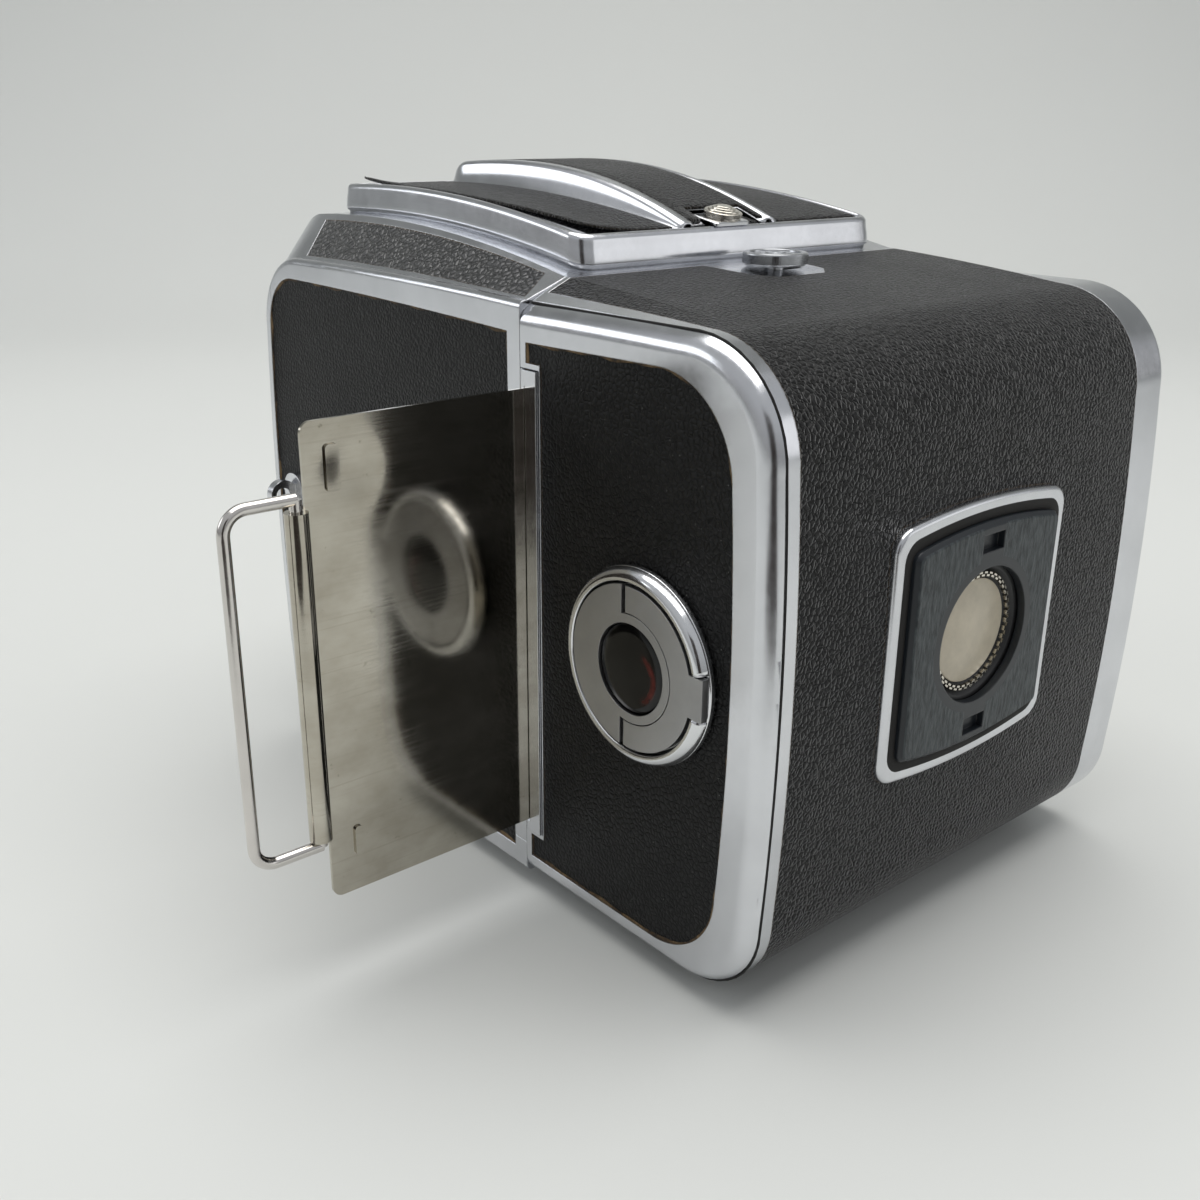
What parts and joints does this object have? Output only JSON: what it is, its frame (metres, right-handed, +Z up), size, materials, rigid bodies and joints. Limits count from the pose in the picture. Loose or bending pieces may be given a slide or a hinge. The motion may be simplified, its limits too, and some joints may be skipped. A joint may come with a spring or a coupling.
{
  "type": "medium format film camera",
  "caption": "Medium format single lens reflex camera body with open lens mount, folding hood, detachable film magazine with key and film reminder, and a half-drawn dark slide.",
  "frame": {"origin": "mouth of the tripod socket, at the underside of the foot plate", "axes": "+Z up; -Y is the direction in which the lens mount faces; +X is the camera's own left side, where the dark slide is drawn"},
  "size_m": [0.1531, 0.1351, 0.1118],
  "materials": {
    "casting": "polished bright trim edges, black inside",
    "leather": "pebble grain, semi gloss",
    "bright_chrome": "polished",
    "satin_metal": "satin",
    "steel": "brushed",
    "blade_steel": "fine ground, slightly scratched",
    "black_metal": "matte black",
    "mirror": "silvered",
    "ground_glass": "ground",
    "clear_glass": "clear",
    "dark_plastic": "matte with fine streaks",
    "cream_enamel": "satin enamel",
    "brass": "machined"
  },
  "bodies": {
    "camera_body": {"body_shell": "casting", "front_and_floor_plates": "casting", "left_side_leather": "leather", "right_side_leather": "leather", "shoulder_leathers": "leather", "front_leather": "leather", "lens_mount_ring": "bright_chrome", "lens_mount_screws": "steel", "focusing_screen": "ground_glass", "screen_frame": "black_metal", "shutter_frame": "black_metal", "shutter_curtain": "steel", "tripod_foot": "satin_metal", "foot_screws": "steel", "tripod_socket": "steel", "strap_lugs": "bright_chrome", "magazine_hooks": "steel", "hood_rim": "bright_chrome", "hinge_pins": "steel", "hood_side_flaps": "black_metal"},
    "mirror": {"mirror_frame": "black_metal", "mirror_glass": "mirror"},
    "winding_knob": {"winding_knob": "bright_chrome"},
    "speed_dial": {"speed_dial": "bright_chrome"},
    "left_drum": {"left_curtain_drum": "steel"},
    "right_drum": {"right_curtain_drum": "steel"},
    "body_gear": {"body_gear": "brass"},
    "shutter_release": {"shutter_release_button": "bright_chrome"},
    "lens_catch": {"lens_catch_button": "bright_chrome"},
    "hood_lid": {"hood_lid": "bright_chrome", "lid_wing_leathers": "leather", "band_leather": "leather", "magnifier_pin": "steel"},
    "magnifier": {"magnifier_frame": "black_metal", "magnifier_lens": "clear_glass"},
    "rear_flap": {"rear_hood_flap": "black_metal"},
    "hood_button": {"hood_button": "bright_chrome"},
    "magazine": {"magazine_shell": "casting", "magazine_leather": "leather", "magazine_side_leather": "leather", "release_plate": "bright_chrome", "film_gate": "satin_metal", "slide_slot_strip": "satin_metal", "reminder_frame": "bright_chrome", "reminder_holder": "dark_plastic"},
    "magazine_gear": {"magazine_gear": "brass"},
    "magazine_button": {"magazine_release_button": "bright_chrome"},
    "reminder_dial": {"reminder_dial": "cream_enamel"},
    "film_knob": {"film_knob": "bright_chrome"},
    "film_insert": {"insert_plate": "satin_metal", "insert_leather": "leather", "insert_frame": "satin_metal", "pressure_plate": "black_metal"},
    "takeup_spool": {"takeup_spool": "dark_plastic"},
    "key": {"key_ring": "bright_chrome", "key_disc": "satin_metal", "key_window": "clear_glass"},
    "key_leaf": {"key_flap": "satin_metal"},
    "dark_slide": {"dark_slide_blade": "blade_steel"},
    "slide_handle": {"dark_slide_handle": "steel"}
  },
  "joints": [
    {"name": "mirror_swing", "type": "hinge", "parent": "camera_body", "child": "mirror", "pos_m": [0, 0.035, 0.086], "axis": [-1, 0, 0], "range_deg": [0, 45]},
    {"name": "winding_turn", "type": "hinge", "parent": "camera_body", "child": "winding_knob", "pos_m": [-0.055, -0.002, 0.052], "axis": [1, 0, 0], "continuous": true},
    {"name": "speed_turn", "type": "hinge", "parent": "camera_body", "child": "speed_dial", "pos_m": [-0.04735, -0.002, 0.052], "axis": [1, 0, 0], "range_deg": [0, 300]},
    {"name": "left_drum_turn", "type": "hinge", "parent": "camera_body", "child": "left_drum", "pos_m": [0.0372, 0.0349, 0.0485], "axis": [0, 0, 1], "continuous": true},
    {"name": "right_drum_turn", "type": "hinge", "parent": "camera_body", "child": "right_drum", "pos_m": [-0.0372, 0.0349, 0.0485], "axis": [0, 0, 1], "continuous": true},
    {"name": "body_gear_turn", "type": "hinge", "parent": "camera_body", "child": "body_gear", "pos_m": [-0.0353, 0.03646, 0.0115], "axis": [1, 0, 0], "continuous": true},
    {"name": "shutter_release_press", "type": "slide", "parent": "camera_body", "child": "shutter_release", "axis": [0, 1, 0], "range_m": [0, 0.0025], "stiffness_N_per_m": 300},
    {"name": "lens_catch_press", "type": "slide", "parent": "camera_body", "child": "lens_catch", "axis": [0, 1, 0], "range_m": [0, 0.0025], "stiffness_N_per_m": 300},
    {"name": "hood_open", "type": "hinge", "parent": "camera_body", "child": "hood_lid", "pos_m": [0, -0.0249, 0.10649], "axis": [1, 0, 0], "range_deg": [0, 90]},
    {"name": "magnifier_swing", "type": "hinge", "parent": "hood_lid", "child": "magnifier", "pos_m": [0.001, 0.014, 0.1076], "axis": [1, 0, 0], "range_deg": [0, 90]},
    {"name": "rear_flap_swing", "type": "hinge", "parent": "camera_body", "child": "rear_flap", "pos_m": [0, 0.0328, 0.0965], "axis": [-1, 0, 0], "range_deg": [0, 90]},
    {"name": "hood_button_slide", "type": "slide", "parent": "camera_body", "child": "hood_button", "axis": [-1, 0, 0], "range_m": [0, 0.0025], "stiffness_N_per_m": 200},
    {"name": "magazine_off", "type": "slide", "parent": "camera_body", "child": "magazine", "axis": [0, 1, 0], "range_m": [0, 0.03]},
    {"name": "magazine_gear_turn", "type": "hinge", "parent": "magazine", "child": "magazine_gear", "pos_m": [-0.0353, 0.04564, 0.0115], "axis": [1, 0, 0], "continuous": true},
    {"name": "magazine_button_slide", "type": "slide", "parent": "magazine", "child": "magazine_button", "axis": [-1, 0, 0], "range_m": [0, 0.003], "stiffness_N_per_m": 300},
    {"name": "reminder_turn", "type": "hinge", "parent": "magazine", "child": "reminder_dial", "pos_m": [0.0032, 0.0917, 0.0504], "axis": [0, 1, 0], "continuous": true},
    {"name": "film_knob_turn", "type": "hinge", "parent": "magazine", "child": "film_knob", "pos_m": [-0.05, 0.0735, 0.073], "axis": [1, 0, 0], "continuous": true},
    {"name": "insert_out", "type": "slide", "parent": "magazine", "child": "film_insert", "axis": [1, 0, 0], "range_m": [0, 0.1]},
    {"name": "spool_turn", "type": "hinge", "parent": "film_insert", "child": "takeup_spool", "pos_m": [0.003, 0.0735, 0.073], "axis": [1, 0, 0], "continuous": true},
    {"name": "key_turn", "type": "hinge", "parent": "film_insert", "child": "key", "pos_m": [0.0466, 0.06775, 0.0486], "axis": [1, 0, 0], "range_deg": [0, 90]},
    {"name": "key_leaf_fold", "type": "hinge", "parent": "key", "child": "key_leaf", "pos_m": [0.04705, 0.06685, 0.0486], "axis": [0, 0, -1], "range_deg": [0, 90]},
    {"name": "dark_slide_draw", "type": "slide", "parent": "magazine", "child": "dark_slide", "axis": [1, 0, 0], "range_m": [-0.0295, 0.045]},
    {"name": "handle_swing", "type": "hinge", "parent": "dark_slide", "child": "slide_handle", "pos_m": [0.0824, 0.0423, 0.0476], "axis": [0, 0, 1], "range_deg": [-90, 35]}
  ],
  "couplings": [
    {"joint": "left_drum_turn", "follows": "winding_turn", "ratio": 2},
    {"joint": "right_drum_turn", "follows": "winding_turn", "ratio": 2},
    {"joint": "body_gear_turn", "follows": "winding_turn", "ratio": 1},
    {"joint": "magazine_gear_turn", "follows": "winding_turn", "ratio": -1},
    {"joint": "magnifier_swing", "follows": "hood_open", "ratio": 1},
    {"joint": "rear_flap_swing", "follows": "hood_open", "ratio": 1},
    {"joint": "spool_turn", "follows": "film_knob_turn", "ratio": 1}
  ]
}
